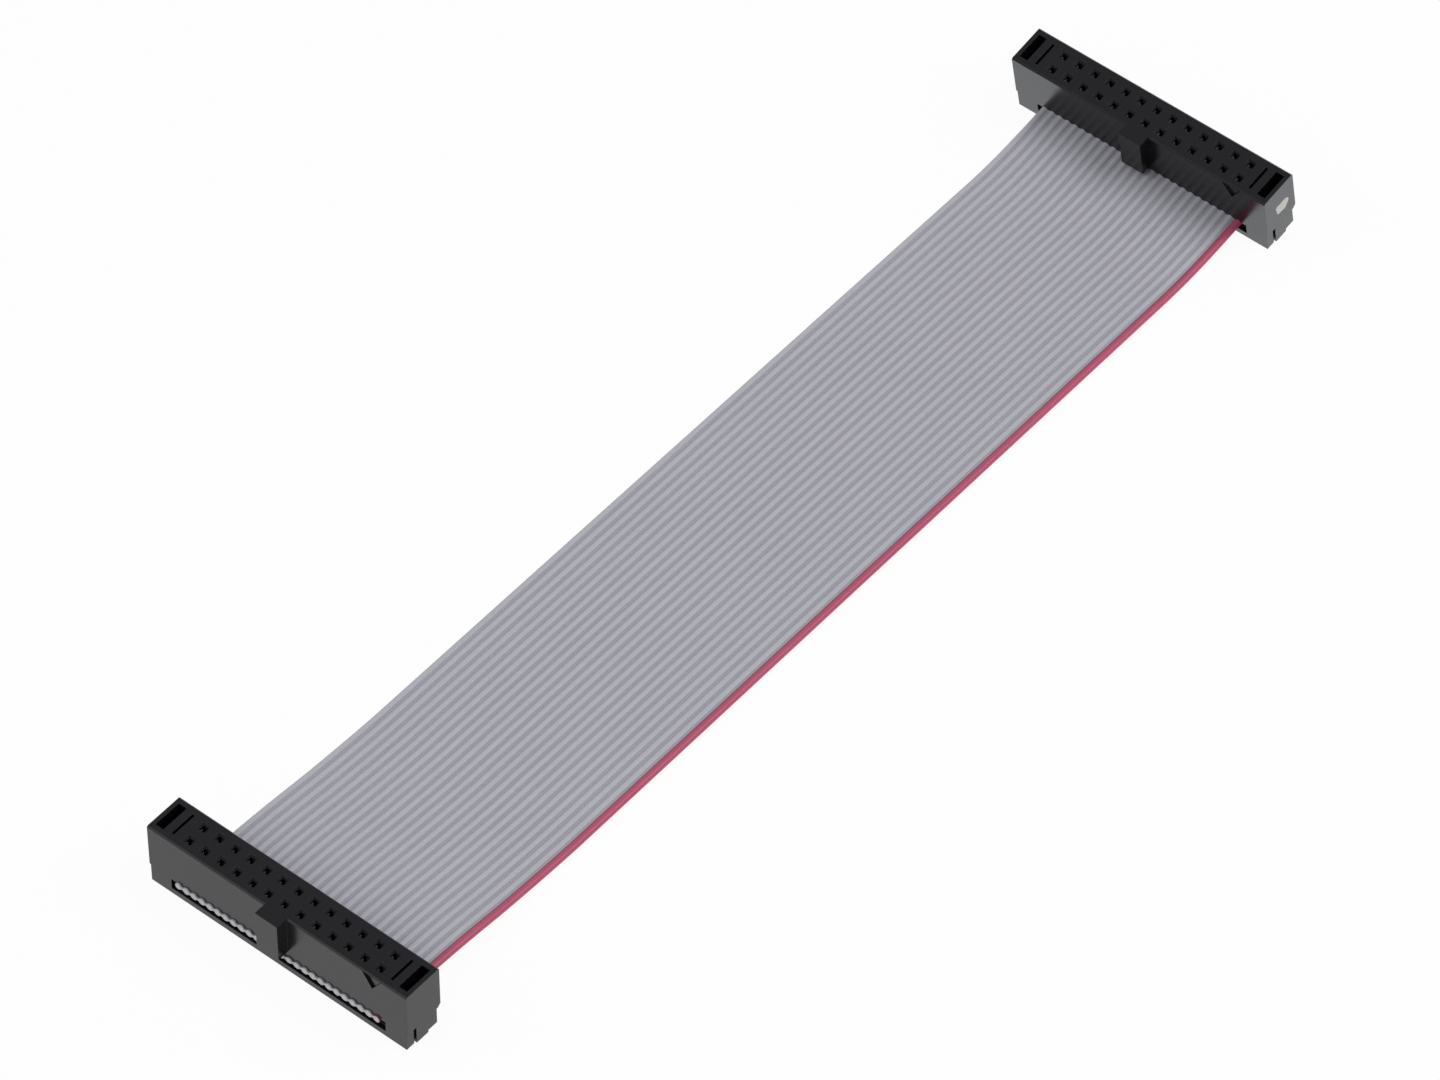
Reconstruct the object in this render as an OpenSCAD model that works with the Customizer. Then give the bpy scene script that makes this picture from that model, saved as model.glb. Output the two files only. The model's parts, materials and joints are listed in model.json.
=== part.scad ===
// Flat ribbon cable with a two-row insulation-displacement socket pressed on each end.
// Both sockets face up. X runs across the ribbon, Y along it, and Z = 0 is the table.

/* [Cable] */
// Contacts in each row of a socket; the ribbon has twice as many wires
columns = 13; // [5:1:20]
// Distance between neighbouring wires of the ribbon
wire_pitch = 1.27; // [1.27:0.01:1.4]
// Diameter of each wire over its insulation
wire_d = 0.95; // [0.85:0.01:1.02]
// Thickness of the web that joins neighbouring wires
web_t = 0.35; // [0.25:0.01:0.5]
// Diameter of the stranded copper core
core_d = 0.38; // [0.3:0.01:0.44]
// Distance between the middles of the two sockets
cable_span = 169.4; // [167:0.2:171]
// How far the ribbon's cut ends stand out of the sockets
cut_end = 0.2; // [0.05:0.05:0.4]

/* [Socket] */
// Width of a socket along the cable
socket_w = 6; // [5.8:0.1:6.6]
// Overall height of a socket with its cap
socket_h = 10; // [9.3:0.1:10.5]
// From the last contact to the end of the socket
end_reach = 5.4; // [5.2:0.1:7]
// Distance between the two rows of contacts
row_gap = 2.54; // [2.4:0.01:2.7]
// Height of the ribbon's middle above the socket's foot
ribbon_z = 2.4; // [2.3:0.05:2.6]
// Height at which the cap ends and the housing begins, outside the ribbon
split_z = 2.9; // [2.8:0.05:3.1]
// Lean of the far socket towards its cable, in degrees
far_lean = 10.4; // [6:0.2:12]

/* [Housing] */
// Side of the square pin holes
pin_hole = 0.9; // [0.8:0.02:1]
// Side of the lead-in at the mouth of a pin hole
lead_in = 1.3; // [1.1:0.02:1.4]
// Depth of that lead-in
lead_in_depth = 0.5; // [0.2:0.05:0.6]
// Thickness of the roof over the contacts
roof_t = 0.9; // [0.75:0.05:1.2]
// Width of the polarising key
key_w = 3.5; // [3:0.1:4.5]
// How far the key stands out of the front face
key_out = 1.7; // [1.2:0.05:2]
// Length of the key down from the top face
key_drop = 6.2; // [4:0.1:6.4]
// Width of the recessed first-pin triangle
mark_w = 3; // [2:0.1:3.2]
// Height of that triangle
mark_h = 2.2; // [1.5:0.1:2.4]
// Depth of that triangle
mark_depth = 0.3; // [0.2:0.05:0.4]
// Thickness of the outer wall of a latch pocket
pocket_wall = 0.6; // [0.5:0.05:0.8]
// Width of a latch pocket along the socket
pocket_w = 1.3; // [1.2:0.05:1.4]
// Length of a latch pocket across the socket
pocket_len = 4.2; // [3.6:0.1:4.4]
// Width of the relief slit beside a latch pocket
slit_w = 0.4; // [0.3:0.05:0.5]
// Length of that slit across the socket
slit_len = 3.8; // [3:0.1:4]
// Depth of that slit
slit_depth = 3; // [2:0.1:4]
// Wall of the housing between a latch pocket and its slit
slit_wall = 1.1; // [0.9:0.05:1.2]
// Height of the ledge in the pocket that the latch hook leans on
ledge_h = 1.2; // [0.8:0.1:1.6]
// Bevel along the long top edges
top_bevel = 0.2; // [0.1:0.05:0.3]

/* [Cap] */
// How much shorter the cap is than the housing at each end
cap_inset = 0.2; // [0.1:0.05:0.4]
// How much narrower the cap is than the housing at the back
back_inset = 0.5; // [0.3:0.05:0.6]
// From the ribbon's edge to the end of the slot that it lies in
slot_spare = 0.8; // [0.5:0.05:1]
// Height of the plain strip along the cap's lower edge
cap_strip = 0.9; // [0.7:0.05:1.2]
// Depth of the relief between that strip and the ribbon
cap_relief = 0.6; // [0.4:0.05:0.8]
// Height of the saddle teeth above and below the ribbon's middle
tooth_gap = 0.25; // [0.22:0.01:0.3]
// Thickness of a latch arm
arm_t = 0.7; // [0.5:0.05:0.75]
// How far the hook of a latch arm stands out
hook_out = 0.35; // [0.2:0.05:0.4]
// Height of the hook's underside above the cap's shoulder
hook_z = 2.2; // [1.8:0.1:2.6]
// Height of that hook
hook_h = 0.9; // [0.7:0.05:1.1]
// Height of the upright nose of that hook
hook_nose = 0.3; // [0.15:0.05:0.4]
// Length of the foot in the middle of each end, which is flush with the housing
foot_len = 2.1; // [1.5:0.1:2.4]
// Width of the narrow slit in front of that foot
end_slit = 0.25; // [0.2:0.05:0.4]
// Depth of that slit
end_slit_depth = 0.4; // [0.2:0.05:0.5]
// From the front face to that slit
end_slit_y = 1.35; // [1:0.05:1.8]

/* [Contact] */
// Thickness of the contact's metal
contact_t = 0.4; // [0.3:0.02:0.5]
// Width of the contact across its two prongs
contact_w = 1.5; // [1.3:0.02:1.6]
// Width of each prong
prong_w = 0.35; // [0.25:0.01:0.4]
// Gap between the prongs where they grip a pin
grip_gap = 0.56; // [0.5:0.01:0.62]
// Width of the fork that cuts into the wire
fork_w = 1.04; // [0.9:0.01:1.1]
// How far the fork's tips stand below the ribbon's middle
fork_reach = 1.5; // [1.2:0.05:1.7]
// Height of the pointed ends of the fork
point_h = 0.35; // [0.2:0.05:0.5]
// Slant of those points, measured across the fork
point_in = 0.1; // [0.05:0.01:0.15]
// Height of the contact's shoulder above the ribbon's middle
shoulder_z = 2.3; // [2:0.1:2.6]
// Height of the web that joins the fork to the prongs
shoulder_h = 0.5; // [0.4:0.05:0.7]
// From the shoulder up to the bottom of the gap between the prongs
gap_rise = 0.9; // [0.8:0.05:1.2]
// From the tips of the prongs down to where they grip
grip_drop = 0.7; // [0.5:0.05:0.9]

/* [Fits] */
// Gap between the ribbon and the saddles that hold it
saddle_fit = 0.03; // [0.01:0.01:0.05]
// Gap between a contact and the walls of its cell
cell_fit = 0.05; // [0.03:0.01:0.08]
// Gap between a latch arm and its pocket
arm_fit = 0.08; // [0.05:0.01:0.1]
// Gap between a wire's core and the fork that grips it
core_fit = 0.01; // [0.01:0.01:0.03]
// Free depth in the cap below the tips of a fork
fork_free = 0.2; // [0.1:0.05:0.3]
// How far a pin hole runs down past the shoulder of its contact
hole_free = 0.3; // [0.1:0.05:0.4]

/* [Hidden] */
SIDES = ["near", "far"];
wires = 2*columns;
contact_pitch = 2*wire_pitch;

// Overlap of joined forms, depth of a form's root in its carrier, and overshoot of a cut
eps = 0.01;
root = 0.5;
over = 1;

socket_len = contact_pitch*(columns - 1) + 2*end_reach;
half_len = socket_len/2;
half_w = socket_w/2;
cap_half = half_len - cap_inset;
cap_back = half_w - back_inset;
slot_half = wire_pitch*(wires - 1)/2 + wire_d/2 + slot_spare;
near_y = (socket_w + key_out - cable_span - (half_w + cap_back)*cos(far_lean))/2;
far_y = near_y + cable_span;

// Places in a latch pocket, counted along +X, and in the end of the cap, counted along +Y
pocket_x1 = half_len - pocket_wall;
pocket_x0 = pocket_x1 - pocket_w;
slit_x1 = pocket_x0 - slit_wall;
arm_x0 = pocket_x0 + arm_fit;
arm_x1 = arm_x0 + arm_t;
arm_half_y = pocket_len/2 - arm_fit;
ledge_x0 = arm_x1 + arm_fit;
end_slit_y0 = -half_w + end_slit_y;
foot_y0 = end_slit_y0 + end_slit;

// Places in a contact, counted up from the socket's foot
fork_z = ribbon_z - fork_reach;
fork_slot_top = ribbon_z + core_d;
shoulder = ribbon_z + shoulder_z;
gap_z = shoulder + gap_rise;
prong_top = socket_h - roof_t - cell_fit;
grip_z = prong_top - grip_drop;

// Centre of wire n, counted from the red edge at +X
function wire_x(n) = wire_pitch*((wires + 1)/2 - n);
// Row of wire n: odd wires go to the front row and even ones to the back row
function row_y(n) = n % 2 == 1 ? -row_gap/2 : row_gap/2;
// Centre of the pin hole of contact n, and the side its fork is offset to
function pin_x(n) = contact_pitch*((columns + 1)/2 - ceil(n/2));
function fork_side(n) = n % 2 == 1 ? 1 : -1;

// A point of the far socket's own frame, placed as the socket stands
function far_point(y, z) = [
    far_y - half_w + (y + half_w)*cos(far_lean) - z*sin(far_lean),
    (y + half_w)*sin(far_lean) + z*cos(far_lean)];

// The ribbon's middle line as [y, z]: in the near socket, down to the table, up into the far one
table_z = 0.5;
free_route = [
    [-76.4, 2.33], [-70.4, 1.92], [-63.4, 1.22], [-56.4, 0.74], [-49.4, table_z],
    [66.4, table_z], [71.9, 0.75], [77.1, 1.43]];
route = concat(
    [[near_y - half_w - cut_end, ribbon_z], [near_y + half_w, ribbon_z]],
    free_route,
    [far_point(-half_w, ribbon_z), far_point(half_w + cut_end, ribbon_z)]);

// Direction of the route at point i, as an angle above the table
function route_angle(i) =
    let (a = route[max(i - 1, 0)], b = route[min(i + 1, len(route) - 1)])
    i <= 1 ? 0 :
    i >= len(route) - 2 ? far_lean :
    atan2(b[1] - a[1], b[0] - a[0]);

// Half outline of the ribbon's section: the arcs of all wires on one side (side = 1 or -1)
core_sides = 6;
lobe_steps = core_sides/2 + 1;
lobe_r = wire_d/2;
web_angle = asin(web_t/wire_d);
function lobe_arc(side) = [
    for (n = [wires:-1:1]) for (k = [0:lobe_steps])
        let (a = 180 - web_angle - k*(180 - 2*web_angle)/lobe_steps)
        [wire_x(n) + lobe_r*cos(a), side*lobe_r*sin(a)]];
function reversed(list) = [for (k = [len(list) - 1:-1:0]) list[k]];
ribbon_section = concat(
    [[wire_x(wires) - lobe_r, 0]], lobe_arc(1),
    [[wire_x(1) + lobe_r, 0]], reversed(lobe_arc(-1)));

// Section of the core in wire n, a six-sided stand-in for its strands, starting at +X
function core_section(n) = [
    for (k = [0:core_sides - 1])
        [wire_x(n) + core_d/2*cos(360*k/core_sides), core_d/2*sin(360*k/core_sides)]];

// Points of a section [x, z] set square to the route at each of its points
function swept_points(section) = [
    for (i = [0:len(route) - 1]) for (p = section)
        let (a = route_angle(i))
        [p[0], route[i][0] - p[1]*sin(a), route[i][1] + p[1]*cos(a)]];

// Walls between the rings of one outline of m points, whose first point is number start of the
// total points that each ring has
function swept_walls(start, m, total) = [
    for (i = [0:len(route) - 2]) for (k = [0:m - 1])
        let (a = i*total + start + k, b = i*total + start + (k + 1) % m)
        [a, a + total, b + total, b]];

// Sets a piece of the near or the far socket where it stands
module seat(side) {
    if (side == "near")
        translate([0, near_y, 0]) children();
    else
        translate([0, far_y - half_w, 0]) rotate([far_lean, 0, 0]) translate([0, half_w, 0])
            children();
}

// A block given by its lowest and highest corners
module block(a, b) {
    translate(a) cube(b - a);
}

// The grooves that the wires lie in
module wire_grooves() {
    for (n = [1:wires])
        translate([wire_x(n), 0, ribbon_z]) rotate([90, 0, 0])
            cylinder(d = wire_d + 2*saddle_fit, h = socket_w + 2*over, center = true, $fn = 32);
}

// Lead-in of one pin hole: a square mouth that narrows downwards
module lead_in_cut() {
    mouth = [
        [-lead_in/2, eps], [lead_in/2, eps], [lead_in/2, 0],
        [pin_hole/2, -lead_in_depth], [-pin_hole/2, -lead_in_depth], [-lead_in/2, 0]];
    intersection() {
        rotate([90, 0, 0]) linear_extrude(height = 2*lead_in, center = true) polygon(mouth);
        rotate([90, 0, 90]) linear_extrude(height = 2*lead_in, center = true) polygon(mouth);
    }
}

// Cell of contact n: the pin's shaft, the prongs' space and the fork's slot below
module contact_cell(n) {
    cell_t = contact_t + 2*cell_fit;
    cell_w = contact_w + 2*cell_fit;
    fork_x = fork_side(n)*wire_pitch/2;
    fork_cell = fork_w + 2*cell_fit;
    translate([pin_x(n), row_y(n), 0]) {
        block([-pin_hole/2, -pin_hole/2, shoulder - hole_free],
              [pin_hole/2, pin_hole/2, socket_h + over]);
        translate([0, 0, socket_h]) lead_in_cut();
        block([-cell_w/2, -cell_t/2, 0], [cell_w/2, cell_t/2, prong_top + cell_fit]);
        block([fork_x - fork_cell/2, -cell_t/2, 0],
              [fork_x + fork_cell/2, cell_t/2, gap_z + cell_fit]);
    }
}

// Triangle that marks the first contact, cut into the front face
module first_mark() {
    translate([pin_x(1), -half_w + mark_depth, socket_h - top_bevel]) rotate([90, 0, 0])
        linear_extrude(height = mark_depth + over)
            polygon([[-mark_w/2, 0], [mark_w/2, 0], [0, -mark_h]]);
}

// Draws its children at the +X end of a socket, and mirrored at the -X end
module both_ends() {
    children();
    mirror([1, 0, 0]) children();
}

// Upper moulding: holds the contacts, takes the pins and carries the key. Its lower back edge
// slants in to the narrower cap
module housing() {
    color([0.16, 0.16, 0.18]) difference() {
        union() {
            translate([-half_len, 0, 0]) rotate([90, 0, 90]) linear_extrude(height = socket_len)
                polygon([
                    [-half_w, split_z], [cap_back, split_z], [half_w, split_z + back_inset],
                    [half_w, socket_h - top_bevel], [half_w - top_bevel, socket_h],
                    [-half_w + top_bevel, socket_h], [-half_w, socket_h - top_bevel]]);
            block([-slot_half, -half_w, ribbon_z + tooth_gap],
                  [slot_half, cap_back, split_z + eps]);
            block([-key_w/2, -half_w - key_out, socket_h - key_drop],
                  [key_w/2, -half_w + root, socket_h]);
        }
        wire_grooves();
        for (n = [1:wires]) contact_cell(n);
        both_ends() {
            difference() {
                block([pocket_x0, -pocket_len/2, 0], [pocket_x1, pocket_len/2, socket_h + over]);
                block([ledge_x0, -half_w, split_z + hook_z - ledge_h - arm_fit],
                      [half_len, half_w, split_z + hook_z - arm_fit]);
            }
            block([slit_x1 - slit_w, -slit_len/2, socket_h - slit_depth],
                  [slit_x1, slit_len/2, socket_h + over]);
        }
        first_mark();
    }
}

// One latch arm of the cap, at the +X end, with a hook that leans on the housing's ledge
module latch_arm() {
    hook_x = arm_x1 + hook_out;
    z0 = split_z + hook_z;
    translate([0, arm_half_y, 0]) rotate([90, 0, 0]) linear_extrude(height = 2*arm_half_y)
        polygon([
            [arm_x0, split_z - root], [arm_x1, split_z - root], [arm_x1, z0], [hook_x, z0],
            [hook_x, z0 + hook_nose], [arm_x1, z0 + hook_h], [arm_x0, z0 + hook_h]]);
}

// Lower moulding: presses the ribbon onto the contacts and latches into the housing
module cap() {
    color([0.18, 0.18, 0.19]) difference() {
        union() {
            block([-cap_half, -half_w, 0], [cap_half, cap_back, ribbon_z - tooth_gap]);
            both_ends() {
                block([slot_half, -half_w, ribbon_z - tooth_gap - eps],
                      [cap_half, cap_back, split_z]);
                block([cap_half - eps, foot_y0, 0], [half_len, foot_y0 + foot_len, split_z]);
                latch_arm();
            }
        }
        wire_grooves();
        block([-slot_half, -half_w - over, cap_strip],
              [slot_half, -half_w + cap_relief, ribbon_z]);
        block([-slot_half, cap_back - cap_relief, cap_strip],
              [slot_half, cap_back + over, ribbon_z]);
        for (n = [1:wires])
            translate([wire_x(n), row_y(n), 0])
                block([-fork_w/2 - cell_fit, -contact_t/2 - cell_fit, fork_z - fork_free],
                      [fork_w/2 + cell_fit, contact_t/2 + cell_fit, ribbon_z]);
        both_ends()
            block([cap_half - end_slit_depth, end_slit_y0, -over],
                  [half_len + over, foot_y0, split_z + eps]);
    }
}

// Contact n, stamped from flat strip: two prongs above, and a slotted fork below for wire n
module contact(n) {
    hw = contact_w/2;
    inner = hw - prong_w;
    f = fork_side(n)*wire_pitch/2;
    fork_a = f - fork_w/2;
    fork_b = f + fork_w/2;
    slot = core_d/2 + core_fit;
    tip = fork_z + point_h;
    left = min(-hw, fork_a);
    right = max(hw, fork_b);
    step = shoulder + shoulder_h;
    color([0.80, 0.68, 0.38])
    translate([pin_x(n), row_y(n) + contact_t/2, 0]) rotate([90, 0, 0])
        linear_extrude(height = contact_t) union() {
            polygon([
                [fork_a + point_in, fork_z], [f - slot, tip], [f - slot, fork_slot_top],
                [f + slot, fork_slot_top], [f + slot, tip], [fork_b - point_in, fork_z],
                [fork_b, tip], [fork_b, shoulder], [right, shoulder], [right, step],
                [hw, step], [hw, prong_top], [inner, prong_top], [inner, gap_z],
                [-inner, gap_z], [-inner, prong_top], [-hw, prong_top], [-hw, step],
                [left, step], [left, shoulder], [fork_a, shoulder], [fork_a, tip]]);
            for (side = [-1, 1])
                translate([side*inner, grip_z]) circle(r = inner - grip_gap/2, $fn = 24);
        }
}

// Flat insulation of all wires, extruded in one piece with a bore for each core; the edge wire
// at +X is red. The end faces are small triangles between each wire's outline and its bore
module ribbon_insulation() {
    outer = len(ribbon_section);
    total = outer + wires*core_sides;
    last = (len(route) - 1)*total;
    left = 0;
    right = outer/2;
    function upper(n, k) = 1 + (wires - n)*(lobe_steps + 1) + k;
    function lower(n, k) = outer - upper(n, k);
    function bore(n, k) = outer + (wires - n)*core_sides + k % core_sides;
    function above(n, k) = bore(n, core_sides/2 - k);
    function below(n, k) = bore(n, core_sides/2 + k);
    upper_end = concat(
        [[left, upper(wires, 0), above(wires, 0)]],
        [[upper(1, lobe_steps), right, above(1, lobe_steps - 1)]],
        [for (n = [1:wires]) for (k = [0:lobe_steps - 1])
            [upper(n, k), upper(n, k + 1), above(n, k)]],
        [for (n = [1:wires]) for (k = [0:lobe_steps - 2])
            [above(n, k), upper(n, k + 1), above(n, k + 1)]],
        [for (n = [1:wires - 1])
            [upper(n + 1, lobe_steps), upper(n, 0), above(n, 0), above(n + 1, lobe_steps - 1)]]);
    lower_end = concat(
        [[lower(wires, 0), left, below(wires, 0)]],
        [[right, lower(1, lobe_steps), below(1, lobe_steps - 1)]],
        [for (n = [1:wires]) for (k = [0:lobe_steps - 1])
            [lower(n, k + 1), lower(n, k), below(n, k)]],
        [for (n = [1:wires]) for (k = [0:lobe_steps - 2])
            [lower(n, k + 1), below(n, k), below(n, k + 1)]],
        [for (n = [1:wires - 1])
            [below(n + 1, lobe_steps - 1), below(n, 0), lower(n, 0), lower(n + 1, lobe_steps)]]);
    ends = concat(upper_end, lower_end);
    section = concat(ribbon_section, [for (n = [wires:-1:1]) each core_section(n)]);
    color([0.72, 0.71, 0.74])
        polyhedron(swept_points(section), concat(
            swept_walls(0, outer, total),
            [for (n = [1:wires]) each swept_walls(bore(n, 0), core_sides, total)],
            ends,
            [for (face = ends) [for (k = reversed(face)) k + last]]));
}

// Stranded cores of tinned copper, one in each wire
module wire_cores() {
    last = (len(route) - 1)*core_sides;
    color([0.76, 0.74, 0.70])
        for (n = [1:wires])
            polyhedron(swept_points(reversed(core_section(n))), concat(
                swept_walls(0, core_sides, core_sides),
                [[for (k = [0:core_sides - 1]) k], [for (k = [core_sides - 1:-1:0]) k + last]]));
}

seat("near") housing();  // near_housing
seat("near") cap();  // near_cap
seat("far") housing();  // far_housing
seat("far") cap();  // far_cap
ribbon_insulation();
wire_cores();
for (side = SIDES) for (n = [1:wires])
    seat(side) contact(n);
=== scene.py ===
import json
import math

import bpy
import numpy as np
from mathutils import Matrix, Vector

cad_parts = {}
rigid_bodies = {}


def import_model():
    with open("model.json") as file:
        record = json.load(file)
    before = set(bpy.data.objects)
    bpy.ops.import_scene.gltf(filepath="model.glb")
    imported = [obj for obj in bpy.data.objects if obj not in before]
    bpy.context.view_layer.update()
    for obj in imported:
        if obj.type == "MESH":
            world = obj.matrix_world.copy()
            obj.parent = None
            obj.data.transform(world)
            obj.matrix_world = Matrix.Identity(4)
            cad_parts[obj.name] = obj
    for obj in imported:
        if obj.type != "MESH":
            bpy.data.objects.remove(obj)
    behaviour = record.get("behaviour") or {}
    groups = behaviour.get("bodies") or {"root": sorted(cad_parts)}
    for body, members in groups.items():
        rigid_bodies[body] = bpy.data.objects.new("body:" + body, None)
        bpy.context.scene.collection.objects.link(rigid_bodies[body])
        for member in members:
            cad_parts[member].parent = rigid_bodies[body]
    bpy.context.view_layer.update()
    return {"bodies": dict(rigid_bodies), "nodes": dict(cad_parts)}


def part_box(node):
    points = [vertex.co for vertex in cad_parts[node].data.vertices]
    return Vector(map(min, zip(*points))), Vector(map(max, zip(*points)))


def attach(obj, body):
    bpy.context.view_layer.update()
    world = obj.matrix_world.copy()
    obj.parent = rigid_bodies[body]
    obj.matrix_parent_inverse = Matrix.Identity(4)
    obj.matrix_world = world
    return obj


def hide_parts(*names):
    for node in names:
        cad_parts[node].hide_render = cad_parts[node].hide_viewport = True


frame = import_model()

# Camera: a long lens, about one metre from the cable, looking down at 49 degrees. Its azimuth is
# counted from +Y towards -X, and its roll is the small tilt of the photograph itself.
camera_azimuth = math.radians(39.613)
camera_elevation = math.radians(48.884)
camera_roll = math.radians(0.017)
camera_place = Vector((0.43855, -0.53332, 0.79205))
photo_width = 1440
focal_pixels = 8389

forward = Vector((
    -math.sin(camera_azimuth)*math.cos(camera_elevation),
    math.cos(camera_azimuth)*math.cos(camera_elevation),
    -math.sin(camera_elevation)))
level = Vector((math.cos(camera_azimuth), math.sin(camera_azimuth), 0))
upright = level.cross(forward)
to_right = math.cos(camera_roll)*level + math.sin(camera_roll)*upright
to_top = math.cos(camera_roll)*upright - math.sin(camera_roll)*level
camera = bpy.data.objects.new("camera", bpy.data.cameras.new("camera"))
camera.data.lens = focal_pixels/photo_width*camera.data.sensor_width
camera.data.clip_start = 0.05
camera.matrix_world = Matrix.Translation(camera_place) @ Matrix(
    (to_right, to_top, -forward)).transposed().to_4x4()
bpy.context.scene.collection.objects.link(camera)
bpy.context.scene.camera = camera


# Ribbon insulation: 26 wires in soft grey PVC, extruded side by side with a thin web between
# neighbours. It is pressed into both sockets and lies flat on the table in between. Each wire is
# drawn as its own length up to the middle of its webs, so that it can be measured as a cord.
MM = 0.001
wires = 26
wire_pitch = 1.27*MM
wire_radius = 0.475*MM
# Half width of a wire on a side with a web, where it is a little fuller than round
full_half = 0.53*MM
# Points of the fillet beyond that side, as shares of the half width
fillet_shares = [1.02, 1.08]
web_half = 0.175*MM
core_radius = 0.19*MM
cable_span = 169.4*MM
far_lean = math.radians(10.4)
ribbon_z = 2.4*MM
cut_end = 0.2*MM
table_z = 0.5*MM
# Points [y, z] of the free stretch, in millimetres, as in the part's source
free_route = [
    [-76.4, 2.33], [-70.4, 1.92], [-63.4, 1.22], [-56.4, 0.74], [-49.4, 0.5],
    [66.4, 0.5], [71.9, 0.75], [77.1, 1.43]]
route_steps = 6

socket_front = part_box("near_cap")[0].y
socket_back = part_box("near_housing")[1].y
near_y = (socket_front + socket_back)/2
half_w = (socket_back - socket_front)/2
far_y = near_y + cable_span


def far_point(y, z):
    """A point [y, z] of the far socket's own frame, leaned about its front bottom edge."""
    c, s = math.cos(far_lean), math.sin(far_lean)
    return [far_y - half_w + (y + half_w)*c - z*s, (y + half_w)*s + z*c]


def smooth_line(points, steps):
    """Places and unit slopes of a smooth line [y, z], in so many steps from each point to the
    next. A span is the cubic that has its ends' places and slopes. A point's slope is that of the
    chord between its neighbours, but the line is straight inside the sockets and level where it
    meets the table."""
    points = np.array(points)
    chords = np.diff(points, axis=0)
    gaps = np.linalg.norm(chords, axis=1)[:, None]
    chords /= gaps
    slopes = np.vstack([
        chords[:1], (points[2:] - points[:-2])/(gaps[1:] + gaps[:-1]), chords[-1:]])
    slopes[[1, -2]] = chords[[0, -1]]
    slopes[np.isclose(points[:, 1], table_z)] = [1, 0]
    t = np.linspace(0, 1, steps, endpoint=False)[None, :, None]
    start, end = points[:-1, None], points[1:, None]
    leaving, arriving = slopes[:-1, None]*gaps[:, None], slopes[1:, None]*gaps[:, None]
    place = (2*t**3 - 3*t**2 + 1)*start + (t**3 - 2*t**2 + t)*leaving \
        + (3*t**2 - 2*t**3)*end + (t**3 - t**2)*arriving
    slope = (6*t**2 - 6*t)*(start - end) + (3*t**2 - 4*t + 1)*leaving + (3*t**2 - 2*t)*arriving
    place = np.vstack([place.reshape(-1, 2), points[-1:]])
    slope = np.vstack([slope.reshape(-1, 2), chords[-1:]])
    return place, slope/np.linalg.norm(slope, axis=1)[:, None]


route_points = [
    [near_y - half_w - cut_end, ribbon_z], [near_y + half_w, ribbon_z],
    *[[y*MM, z*MM] for y, z in free_route],
    far_point(-half_w, ribbon_z), far_point(half_w + cut_end, ribbon_z)]
route, route_slope = smooth_line(route_points, route_steps)


def wire_x(number):
    """Middle of a wire across the ribbon. Wire 1, the red one, lies furthest to +X."""
    return wire_pitch*((wires + 1)/2 - number)


def carry(section, line, slope):
    """Rings of a section [x, up] set square to a line [y, z]: a point is the line's place plus
    its up part times the line's normal."""
    x = np.broadcast_to(section[None, :, 0], (len(line), len(section)))
    y = line[:, None, 0] - section[None, :, 1]*slope[:, None, 1]
    z = line[:, None, 1] + section[None, :, 1]*slope[:, None, 0]
    return np.stack([x, y, z], axis=2)


def ring_walls(rings, sides, first=0, inward=False):
    """Faces between neighbouring closed rings of points, which are numbered from first."""
    ring, side = np.meshgrid(np.arange(rings - 1), np.arange(sides), indexing="ij")
    here = first + ring*sides + side
    beside = first + ring*sides + (side + 1) % sides
    walls = np.stack([here, beside, beside + sides, here + sides], axis=2).reshape(-1, 4)
    return walls[:, ::-1] if inward else walls


def add_piece(name, points, face_blocks, smooth_angle=math.radians(40)):
    """A mesh piece of the object from points and arrays of faces, smooth but for edges over an
    angle."""
    mesh = bpy.data.meshes.new(name)
    faces = [face for block in face_blocks for face in block.tolist()]
    mesh.from_pydata(points.reshape(-1, 3).tolist(), [], faces)
    mesh.polygons.foreach_set("use_smooth", np.ones(len(faces), bool))
    mesh.set_sharp_from_angle(angle=smooth_angle)
    piece = bpy.data.objects.new(name, mesh)
    bpy.context.scene.collection.objects.link(piece)
    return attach(piece, next(iter(frame["bodies"])))


def wire_section(joined_left, joined_right, count=10):
    """Outline [x, up] of one wire, clockwise from its left side. A side that is not joined is
    round. A joined one is a little fuller, and its height is the sixth root of the sum of the
    sixth powers of the wire's and the web's half heights, so that they meet in a small fillet."""
    turn = np.linspace(0, math.pi/2, count + 1)

    def half(side, has_web):
        """Half of the outline from the middle out to one side."""
        reach = full_half if has_web else wire_radius
        x = reach*np.sin(turn)
        if has_web:
            x = np.concatenate([x[:-1], reach*np.array(fillet_shares), [wire_pitch/2]])
        disc = wire_radius*np.sqrt(np.maximum(1 - (x/reach)**2, 0))
        up = (disc**6 + web_half**6)**(1/6) if has_web else disc
        return np.stack([side*x, up], axis=1)

    top = np.vstack([half(-1, joined_left)[::-1], half(1, joined_right)[1:]])
    low = top[::-1]*[1, -1]
    on_top = np.isclose(low[:, 1], 0, atol=1e-9)
    return np.vstack([top, low[~on_top]])


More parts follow.
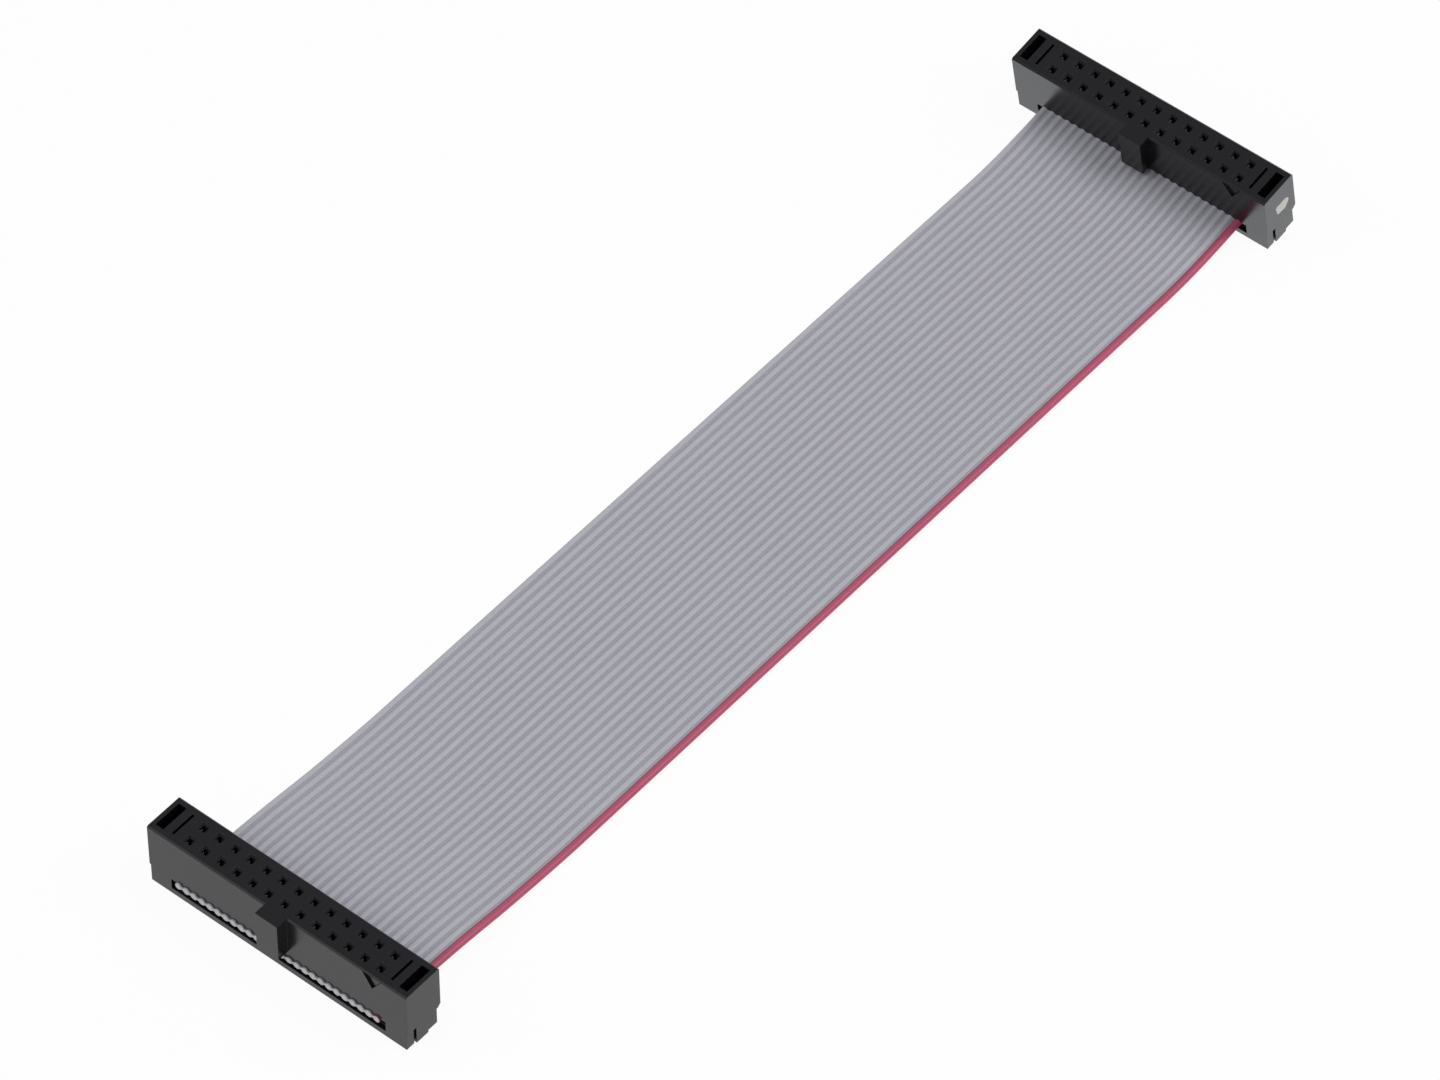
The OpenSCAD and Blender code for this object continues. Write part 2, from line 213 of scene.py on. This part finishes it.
def wire_piece(number):
    """One wire's insulation: its outline and its bore carried along the route, with a ring of
    faces between the two at each cut end."""
    outline = wire_section(joined_left=number < wires, joined_right=number > 1)
    angle = np.arctan2(outline[:, 1], outline[:, 0])
    bore = core_radius*np.stack([np.cos(angle), np.sin(angle)], axis=1)
    walls = np.stack([
        carry(shape + [wire_x(number), 0], route, route_slope) for shape in (outline, bore)])
    rings, sides = walls.shape[1:3]
    bored, last = rings*sides, (rings - 1)*sides
    side = np.arange(sides)
    beside = (side + 1) % sides
    near_end = np.stack([side, bored + side, bored + beside, beside], axis=1)
    far_end = last + np.stack([side, beside, bored + beside, bored + side], axis=1)
    piece = add_piece("red_wire_1" if number == 1 else f"grey_wire_{number}", walls, [
        ring_walls(rings, sides), ring_walls(rings, sides, bored, inward=True),
        near_end, far_end])
    piece.data.materials.append(red_pvc if number == 1 else grey_pvc)
    piece.data.materials.append(cut_pvc)
    slots = np.zeros(len(piece.data.polygons), np.int32)
    slots[-len(near_end) - len(far_end):] = 1
    piece.data.polygons.foreach_set("material_index", slots)
    return piece


def math_operator(operation, reflected=False):
    """An operator for signals that adds one Math node to the signal's own material."""
    def operator(signal, other=0):
        first, second = (other, signal) if reflected else (signal, other)
        return signal.finish.node(
            "ShaderNodeMath", {"operation": operation}, {0: first, 1: second})
    return operator


class Signal:
    """One output of a shader node. Sums, differences, products, quotients and comparisons with
    numbers or other signals add Math nodes to the same material."""

    def __init__(self, finish, socket):
        self.finish = finish
        self.socket = socket

    __add__ = math_operator("ADD")
    __radd__ = math_operator("ADD", reflected=True)
    __sub__ = math_operator("SUBTRACT")
    __rsub__ = math_operator("SUBTRACT", reflected=True)
    __mul__ = math_operator("MULTIPLY")
    __rmul__ = math_operator("MULTIPLY", reflected=True)
    __truediv__ = math_operator("DIVIDE")
    __rtruediv__ = math_operator("DIVIDE", reflected=True)
    __gt__ = math_operator("GREATER_THAN")
    __lt__ = math_operator("LESS_THAN")
    __abs__ = math_operator("ABSOLUTE")


class Finish:
    """A procedural material. Plain values go straight to the shader's sockets, and node() makes
    every other node from its type, its settings and the values or signals of its sockets."""

    def __init__(self, name, **plain):
        self.material = bpy.data.materials.new(name)
        self.material.use_nodes = True
        self.nodes = self.material.node_tree.nodes
        self.shader = self.nodes["Principled BSDF"]
        for socket, value in plain.items():
            self.set(socket.replace("_", " "), value)
        self.place = self.node("ShaderNodeTexCoord", output="Object")

    def node(self, kind, settings=None, values=None, output=0):
        made = self.nodes.new(kind)
        for name, value in (settings or {}).items():
            setattr(made, name, value)
        for socket, value in (values or {}).items():
            self.feed(made.inputs[socket], value)
        return Signal(self, made.outputs[output])

    def feed(self, socket, value):
        """Gives a socket a signal, a colour of three parts or a plain value."""
        if isinstance(value, Signal):
            self.material.node_tree.links.new(value.socket, socket)
        elif socket.type == "RGBA":
            socket.default_value = (*value, 1)
        else:
            socket.default_value = value

    def set(self, socket, value):
        self.feed(self.shader.inputs[socket], value)

    def along(self, axis):
        """Object coordinate along one axis, in metres."""
        return self.node("ShaderNodeSeparateXYZ", values={0: self.place}, output=axis)

    def stretched(self, x, y, z):
        """Object coordinates times a number on each axis, for patterns longer one way."""
        return self.node("ShaderNodeMapping", values={
            "Vector": self.place, "Scale": (x, y, z)})

    def noise(self, vector, scale=1.0, detail=3.0, roughness=0.5):
        return self.node("ShaderNodeTexNoise", values={
            "Vector": vector, "Scale": scale, "Detail": detail, "Roughness": roughness})

    def blend(self, factor, first, second):
        """A colour between two colours. A Mix node has them in sockets 6, 7 and 2."""
        return self.node("ShaderNodeMix", {"data_type": "RGBA"}, {
            0: factor, 6: first, 7: second}, 2)

    def bump(self, height, distance, strength=1.0, normal=None):
        values = {"Height": height, "Distance": distance, "Strength": strength}
        if normal is not None:
            values["Normal"] = normal
        return self.node("ShaderNodeBump", values=values)


def pvc(name, web_shade_and_deep, crest_light_and_pale):
    """Soft PVC with painted shade in the thin webs between the wires and painted light along the
    top of each wire. Long streaks along the wire, slow clouds and a fine matt grain lie over that.
    The share of the painted light is the distance from the nearest web over half the pitch."""
    finish = Finish(name, IOR=1.52)
    from_web = finish.node("ShaderNodeMath", {"operation": "PINGPONG"}, {
        0: finish.along("X"), 1: wire_pitch/2})
    painted_crest_light = from_web/(wire_pitch/2)
    streaks = finish.noise(finish.stretched(2600, 45, 2600), detail=4, roughness=0.6)
    clouds = finish.noise(finish.stretched(60, 60, 60), roughness=0.6)
    grain = finish.noise(finish.place, 5200, detail=2, roughness=0.6)
    # Over half of this colour is painted light on top of the wires and painted shade in the webs;
    # the streaks, clouds and grain are the PVC's own.
    crest_light_and_tone = painted_crest_light*0.55 + streaks*0.2 + clouds*0.15 + grain*0.1
    finish.set("Base Color", finish.blend(crest_light_and_tone, web_shade_and_deep, crest_light_and_pale))
    finish.set("Roughness", 0.26 + grain*0.16 + clouds*0.08)
    finish.set("Normal", finish.bump(grain*0.4 + streaks*0.6, 0.02*MM))
    return finish.material


# Each pair of colours goes from the painted shade of the webs to the painted light on top of the
# wires, with the PVC's own streaks and clouds between.
grey_pvc = pvc("grey_pvc", (0.31, 0.305, 0.34), (0.54, 0.535, 0.59))
red_pvc = pvc("red_pvc", (0.385, 0.052, 0.115), (0.52, 0.085, 0.165))
# Where the blade sheared the ribbon the PVC is stress-whitened, and the red wire is grey inside
cut_pvc = pvc("cut_pvc", (0.44, 0.44, 0.46), (0.58, 0.58, 0.60))
wire_pieces = [wire_piece(number) for number in range(1, wires + 1)]


# Cores: seven fine tinned copper strands in each wire. They show at the cut ends, and the forks
# of the contacts grip them inside the sockets.
strand_radius = 0.0625*MM
strand_sides = 6
# A strand has a ring of points at every third place of the route
strand_every = 3
drawn_copper = (0.62, 0.54, 0.46)
bright_tin = (0.80, 0.77, 0.73)


def core_strands():
    """One strand in the middle of each core and six around it, each a small six-sided rod
    carried along the route with flat ends."""
    turn = np.arange(strand_sides)*2*math.pi/strand_sides
    outline = strand_radius*np.stack([np.cos(turn), -np.sin(turn)], axis=1)
    around = 2*strand_radius*np.stack([np.cos(turn), np.sin(turn)], axis=1)
    bundle = np.vstack([[[0, 0]], around])
    centres = [at + [wire_x(number), 0] for number in range(1, wires + 1) for at in bundle]
    line, slope = route[::strand_every], route_slope[::strand_every]
    rods = np.stack([carry(outline + centre, line, slope) for centre in centres])
    last = (len(line) - 1)*strand_sides
    first = np.arange(len(rods))[:, None]*(last + strand_sides)
    walls = first[:, :, None] + ring_walls(len(line), strand_sides)
    near_ends = first + np.arange(strand_sides)[::-1]
    far_ends = first + last + np.arange(strand_sides)
    return add_piece("core_strands", rods, [walls.reshape(-1, 4), near_ends, far_ends])


tinned_copper = Finish("tinned_copper", Metallic=1.0)
drawn = tinned_copper.noise(tinned_copper.stretched(9000, 300, 9000))
tinned_copper.set("Base Color", tinned_copper.blend(drawn, drawn_copper, bright_tin))
tinned_copper.set("Roughness", 0.28 + drawn*0.2)
strands = core_strands()
strands.data.materials.append(tinned_copper.material)
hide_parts("wire_cores")

# The strands are one piece. The CAD ribbon insulation is hidden, once for each wire.
for number, piece in enumerate(wire_pieces, 1):
    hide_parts("ribbon_insulation")


# Socket mouldings: glass-filled black polyester, moulded in a fine spark-eroded tool. The housing
# takes the pins, and the cap clicks on from below and clamps the ribbon. Both are CAD nodes.
socket_h = 10*MM
mouth_depth = 0.55*MM
mouth_skin = 0.02*MM
hole_field_half_x = 16.6*MM
hole_field_half_y = 2.3*MM
edge_radius = 0.05*MM
housing_black = (0.003, 0.003, 0.0042), (0.006, 0.006, 0.008)
cap_black = (0.004, 0.004, 0.0042), (0.008, 0.008, 0.008)
# Colour of the painted light in the shaded lead-ins, lighter than the black plastic
lead_in_painted_light = (0.03, 0.03, 0.032)


def moulding(name, side, dark, light):
    """Black plastic: faint flow clouds and a fine grain in the colour, a pearl-like grain in the
    gloss, grain and glass flecks in the surface, edges rounded off in the shading, and painted
    light in the shaded lead-ins, with a duller gloss there. The lead-ins are found in the socket's
    own frame: in the field of holes, just under the top."""
    finish = Finish(name, IOR=1.42)
    front, lean = (near_y - half_w, 0) if side == "near" else (far_y - half_w, far_lean)
    own = finish.node("ShaderNodeMapping", {"vector_type": "TEXTURE"}, {
        "Vector": finish.place, "Location": (0, front, 0), "Rotation": (lean, 0, 0)})
    own_x, own_y, own_z = (
        finish.node("ShaderNodeSeparateXYZ", values={0: own}, output=axis) for axis in "XYZ")
    in_field = (abs(own_x) < hole_field_half_x)*(abs(own_y - half_w) < hole_field_half_y)
    lit_lead_ins = in_field*(own_z > socket_h - mouth_depth)*(own_z < socket_h - mouth_skin)
    clouds = finish.noise(finish.stretched(160, 160, 260), roughness=0.55)
    grain = finish.noise(finish.place, 9000, detail=2)
    flecks = finish.node("ShaderNodeTexVoronoi", {"feature": "F1"}, {
        "Vector": finish.place, "Scale": 5200})
    plain = finish.blend(clouds*0.6 + grain*0.4, dark, light)
    # Painted light: the shaded lead-ins just under the top get a lighter colour, so that they look
    # as light as the top face.
    finish.set("Base Color", finish.blend(lit_lead_ins, plain, lead_in_painted_light))
    finish.set("Roughness", 0.17 + grain*0.1 + clouds*0.06 + lit_lead_ins*0.2)
    rounded = finish.node("ShaderNodeBevel", {"samples": 6}, {"Radius": edge_radius})
    finish.set("Normal", finish.bump(grain*0.7 + flecks*0.3, 0.006*MM, 0.6, rounded))
    return finish.material


def dress(node, material):
    """Puts one material in every slot of a CAD node."""
    slots = frame["nodes"][node].data.materials
    slots.clear()
    slots.append(material)


for side in ("near", "far"):
    for part, tones in (("housing", housing_black), ("cap", cap_black)):
        dress(f"{side}_{part}", moulding(f"{side}_{part}_plastic", side, *tones))


# Contacts: stamped phosphor bronze, tinned at the forks below and with a thin gold flash on the
# prongs above, where the pins rub.
flash_z = 5*MM
flash_waver = 0.4*MM
fork_tin = (0.66, 0.64, 0.60)
dull_flash = (0.80, 0.68, 0.46)
bright_flash = (0.90, 0.82, 0.64)

contact_metal = Finish("contact_metal", Metallic=1.0)
waver = contact_metal.noise(contact_metal.place, 3000)*flash_waver
flashed = contact_metal.along("Z") + waver > flash_z
rolled = contact_metal.noise(contact_metal.stretched(6000, 6000, 500))
contact_metal.set("Base Color", contact_metal.blend(
    flashed, fork_tin, contact_metal.blend(rolled, dull_flash, bright_flash)))
contact_metal.set("Roughness", 0.22 + rolled*0.2)
for side in ("near", "far"):
    for number in range(1, wires + 1):
        dress(f"{side}_contact_{number}", contact_metal.material)


# Test dot: a dab of white paint on the far socket's right end face, put on by hand after the
# cable passed its test, so its outline is uneven and its middle is a little thicker.
dot_y = 0.4*MM
dot_z = 5.9*MM
dot_half_length = 1.25*MM
dot_half_width = 0.92*MM
dot_height = 0.05*MM
dot_rings = 8
dot_sides = 48
thin_paint = (0.50, 0.485, 0.44)
thick_paint = (0.62, 0.60, 0.55)
face_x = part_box("far_housing")[1].x


def paint_dab():
    """A low dome over a long, squarish oval, whose two reaches are the 0.7th powers of a circle's.
    Rings shrink to the middle while the height grows as one less the fourth power of the ring's
    share, and the rim wobbles with three slow waves."""
    share = np.linspace(1, 0, dot_rings, endpoint=False)[:, None]
    turn = np.linspace(0, 2*math.pi, dot_sides, endpoint=False)[None, :]
    wobble = 1 + 0.07*np.sin(3*turn + 0.4) + 0.05*np.cos(5*turn) + 0.03*np.sin(9*turn + 1)
    along, across = (np.sign(part)*np.abs(part)**0.7 for part in (np.cos(turn), np.sin(turn)))
    own_y = dot_y + dot_half_length*share*wobble*along
    own_z = dot_z + dot_half_width*share*wobble*across
    x = face_x + dot_height*(1 - share**4) + 0*turn
    return np.stack([x, *far_point(own_y, own_z)], axis=2)


rim = np.arange(dot_sides)
crown = (dot_rings - 1)*dot_sides + rim
dot = add_piece("test_dot", paint_dab(), [
    ring_walls(dot_rings, dot_sides), crown[None], rim[None, ::-1]])
paint = Finish("white_paint", IOR=1.48)
brushed = paint.noise(paint.stretched(2500, 700, 2500))
paint.set("Base Color", paint.blend(brushed, thin_paint, thick_paint))
paint.set("Roughness", 0.4 + brushed*0.2)
paint.set("Normal", paint.bump(brushed, 0.02*MM))
dot.data.materials.append(paint.material)


# Studio: a white table that goes on as backdrop, one soft lamp at the right behind the cable, one
# from the left in front of it, and an even white sky.
floor_half = 6.0
lit_paper = (0.86, 0.86, 0.86)
seen_white = (1.0, 1.0, 1.0)
seen_share = 0.95
near_glow = (0.98, 0.98, 0.99)
far_glow = (1.45, 1.48, 1.51)
sky_white = (0.96, 0.97, 1.0)
sky_strength = 0.5

corners = [(-floor_half, -floor_half, 0), (floor_half, -floor_half, 0),
           (floor_half, floor_half, 0), (-floor_half, floor_half, 0)]
floor_mesh = bpy.data.meshes.new("floor")
floor_mesh.from_pydata(corners, [], [(0, 1, 2, 3)])
floor = bpy.data.objects.new("floor", floor_mesh)
bpy.context.scene.collection.objects.link(floor)

# White paper that the camera sees almost plain white, with a twentieth of it lit so that a faint
# shadow stays. Mirror and glass rays see it glow, and more so further back, behind the far socket
floor_paper = Finish("floor_paper", Base_Color=lit_paper, Roughness=1.0, Specular_IOR_Level=0.0)
camera_rays, mirror_rays, glass_rays = (
    floor_paper.node("ShaderNodeLightPath", output=f"Is {kind} Ray")
    for kind in ("Camera", "Glossy", "Transmission"))


def glowing(colour):
    """Plain light of one colour."""
    return floor_paper.node("ShaderNodeEmission", values={"Color": colour})


def either(share, first, second):
    """The first shader, with this share of the second."""
    return floor_paper.node("ShaderNodeMixShader", values={0: share, 1: first, 2: second})


way_back = (floor_paper.along("Y") - near_y)/cable_span
in_mirrors = either(way_back, glowing(near_glow), glowing(far_glow))
floor_paper.feed(floor_paper.nodes["Material Output"].inputs["Surface"], either(
    camera_rays*seen_share + mirror_rays + glass_rays,
    Signal(floor_paper, floor_paper.shader.outputs[0]),
    either(camera_rays, in_mirrors, glowing(seen_white))))
floor_mesh.materials.append(floor_paper.material)

world = bpy.data.worlds.new("sky")
bpy.context.scene.world = world
world.use_nodes = True
sky = world.node_tree.nodes["Background"]
sky.inputs["Color"].default_value = (*sky_white, 1)
sky.inputs["Strength"].default_value = sky_strength


def soft_lamp(name, azimuth, elevation, distance, size, power):
    """A square lamp that faces the cable's middle, placed by the direction it shines from."""
    a, e = math.radians(azimuth), math.radians(elevation)
    away = Vector((math.sin(a)*math.cos(e), -math.cos(a)*math.cos(e), math.sin(e)))
    lamp = bpy.data.objects.new(name, bpy.data.lights.new(name, "AREA"))
    lamp.data.size = size
    lamp.data.energy = power
    lamp.location = away*distance
    lamp.rotation_mode = "QUATERNION"
    lamp.rotation_quaternion = away.to_track_quat("Z", "Y")
    bpy.context.scene.collection.objects.link(lamp)


soft_lamp("key_lamp", azimuth=125, elevation=50, distance=1.1, size=0.7, power=4.3)
soft_lamp("fill_lamp", azimuth=-35, elevation=44, distance=1.3, size=0.8, power=4.2)

bpy.context.scene.view_settings.view_transform = "Standard"
